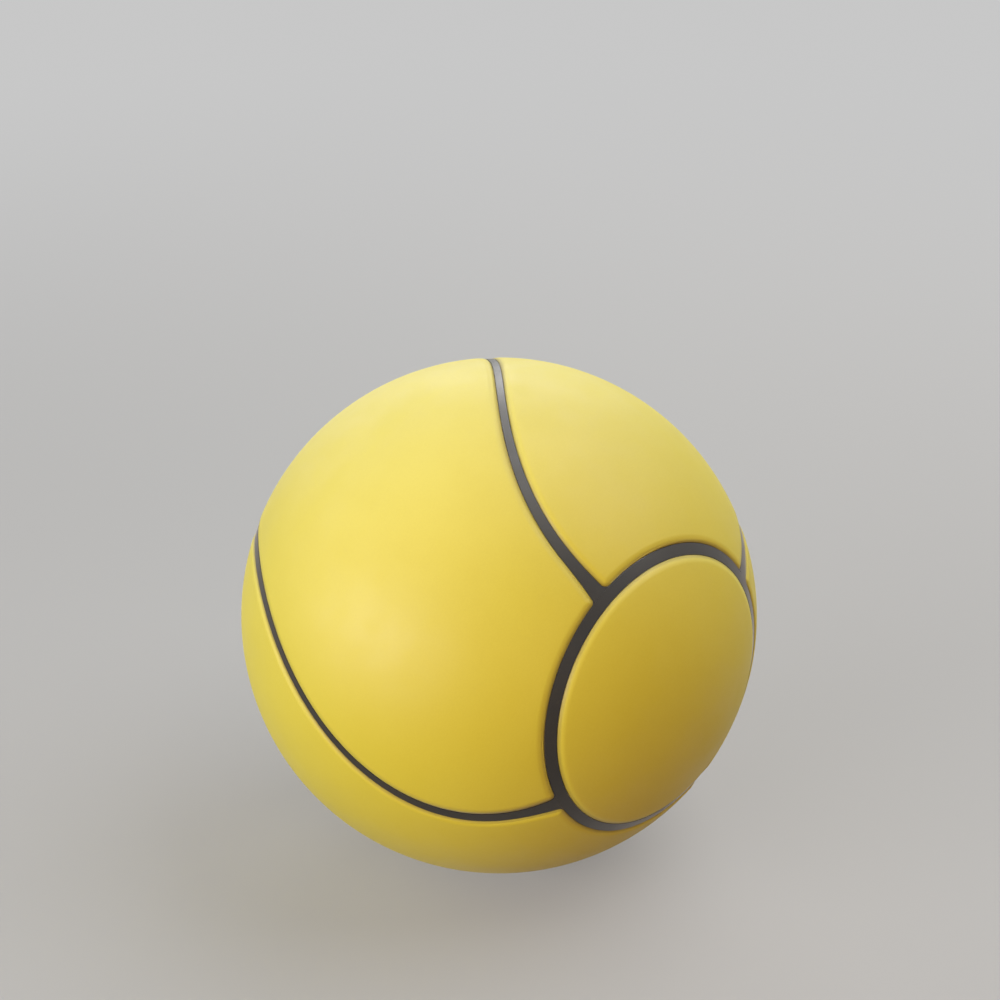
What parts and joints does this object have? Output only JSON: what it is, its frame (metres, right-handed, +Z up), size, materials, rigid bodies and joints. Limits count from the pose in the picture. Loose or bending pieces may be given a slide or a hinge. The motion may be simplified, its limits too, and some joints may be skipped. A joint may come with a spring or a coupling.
{
  "type": "tetherball",
  "caption": "Yellow rubber tetherball with swirling side panels, round end panels, dark sunken seams, a needle valve, and a recess with a cross pin for its rope.",
  "frame": {"origin": "centre of the ball", "axes": "+Z is up as the ball lies in the picture, through the middle of a swirling seam; -Y is the middle of the plain round panel; +Y points out of the tether recess"},
  "size_m": [0.215, 0.2132, 0.215],
  "materials": {
    "cover": "satin moulded rubber, yellow",
    "seam": "smooth satin, dark grey",
    "carcass": "matt",
    "winding": "wound nylon thread",
    "bladder": "smooth butyl",
    "valve": "smooth satin, black",
    "cup": "satin, dark grey",
    "pin": "plated",
    "sleeve": "natural nylon"
  },
  "bodies": {
    "ball": {"front_cap_panel": "cover", "rear_cap_panel": "cover", "upper_right_gore": "cover", "lower_right_gore": "cover", "lower_left_gore": "cover", "upper_left_gore": "cover", "front_seam_ring": "seam", "rear_seam_ring": "seam", "top_seam_strip": "seam", "right_seam_strip": "seam", "bottom_seam_strip": "seam", "left_seam_strip": "seam", "carcass_shell": "carcass", "nylon_winding": "winding", "bladder": "bladder", "valve_housing": "valve", "valve_core": "valve", "tether_cup": "cup", "mouth_collar": "cup", "tether_pin": "pin"},
    "sleeve": {"pin_sleeve": "sleeve"}
  },
  "joints": [
    {"name": "sleeve_spin", "type": "hinge", "parent": "ball", "child": "sleeve", "pos_m": [0, 0.0905, 0], "axis": [1, 0, 0], "continuous": true}
  ]
}
